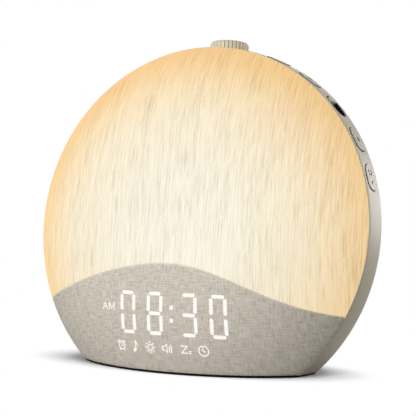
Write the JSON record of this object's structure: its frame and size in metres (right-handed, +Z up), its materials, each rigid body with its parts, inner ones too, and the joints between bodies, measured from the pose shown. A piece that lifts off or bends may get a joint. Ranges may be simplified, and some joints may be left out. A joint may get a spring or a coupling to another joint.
{
  "type": "sunrise alarm clock",
  "caption": "Sunrise alarm clock: leaning round body with a glowing dome, cloth-look display panel, side ring with push keys and a slide switch, and a push-and-turn knob on top.",
  "frame": {"origin": "on the ground under the middle of the clock's box, at the underside of its rubber pad", "axes": "+X to the right seen from the front, along the longest extent; +Y from the face to the back, the shortest extent; +Z up"},
  "size_m": [0.1922, 0.0892, 0.1723],
  "materials": {
    "lit_dome": "translucent dome with a printed wood grain, lit from behind",
    "cloth_panel": "fine grey-beige woven cloth",
    "champagne_paint": "satin champagne paint with a fine metallic flake",
    "champagne_metal": "anodised champagne, fluted",
    "black_rubber": "matt black rubber",
    "white_plastic": "moulded white",
    "led_lens": "clear lens over a lamp chip",
    "black_plastic": "moulded black",
    "circuit_board": "green solder mask",
    "zinc_steel": "bright zinc plate",
    "brass_plate": "plain brass",
    "paper_cone": "pressed paper",
    "ferrite": "sintered ferrite"
  },
  "bodies": {
    "root": {"front_diffuser": "lit_dome", "display_cover": "cloth_panel", "side_ring": "champagne_paint", "rear_cover": "champagne_paint", "base_pad": "black_rubber", "chassis": "white_plastic", "light_board": "white_plastic", "light_leds": "led_lens", "reflector": "white_plastic", "light_divider": "white_plastic", "display_guide": "black_plastic", "display_board": "circuit_board", "display_leds": "led_lens", "main_board": "circuit_board", "main_parts": "black_plastic", "cell_holder": "black_plastic", "backup_cell": "zinc_steel", "board_screws": "zinc_steel", "cover_screws": "zinc_steel", "speaker_grille": "champagne_paint", "speaker_gasket": "black_rubber", "speaker_frame": "zinc_steel", "speaker_cone": "paper_cone", "speaker_magnet": "ferrite", "speaker_screws": "zinc_steel", "encoder_body": "zinc_steel", "encoder_nut": "brass_plate", "encoder_board": "circuit_board", "key_board": "circuit_board", "key_switches": "black_plastic", "slide_bezel": "black_plastic", "slide_case": "zinc_steel", "power_inlet": "black_plastic", "inlet_pin": "zinc_steel"},
    "knob_push": {"encoder_plunger": "black_plastic"},
    "knob_turn": {"encoder_shaft": "zinc_steel", "knob": "champagne_metal"},
    "key_1": {"key_1": "champagne_paint", "switch_plunger_1": "black_plastic"},
    "key_2": {"key_2": "champagne_paint", "switch_plunger_2": "black_plastic"},
    "key_3": {"key_3": "champagne_paint", "switch_plunger_3": "black_plastic"},
    "key_4": {"key_4": "champagne_paint", "switch_plunger_4": "black_plastic"},
    "slide": {"slide_nub": "champagne_paint"}
  },
  "joints": [
    {"name": "knob_push", "type": "slide", "parent": "root", "child": "knob_push", "axis": [0, -0.1284, -0.9917], "range_m": [0, 0.0005], "stiffness_N_per_m": 400, "springref_m": -0.0008},
    {"name": "knob_turn", "type": "hinge", "parent": "knob_push", "child": "knob_turn", "pos_m": [0, 0.032, 0.16586], "axis": [0, 0.1284, 0.9917], "continuous": true},
    {"name": "key_1_press", "type": "slide", "parent": "root", "child": "key_1", "axis": [-0.9598, -0.0361, -0.2783], "range_m": [0, 0.0006], "stiffness_N_per_m": 100, "springref_m": -0.0006},
    {"name": "key_2_press", "type": "slide", "parent": "root", "child": "key_2", "axis": [-0.8771, -0.0617, -0.4762], "range_m": [0, 0.0006], "stiffness_N_per_m": 100, "springref_m": -0.0006},
    {"name": "key_3_press", "type": "slide", "parent": "root", "child": "key_3", "axis": [-0.5948, -0.1033, -0.7972], "range_m": [0, 0.0006], "stiffness_N_per_m": 100, "springref_m": -0.0006},
    {"name": "key_4_press", "type": "slide", "parent": "root", "child": "key_4", "axis": [-0.4083, -0.1173, -0.9053], "range_m": [0, 0.0006], "stiffness_N_per_m": 100, "springref_m": -0.0006},
    {"name": "slide_switch", "type": "slide", "parent": "root", "child": "slide", "axis": [0.6574, -0.0968, -0.7473], "range_m": [0, 0.005]}
  ]
}
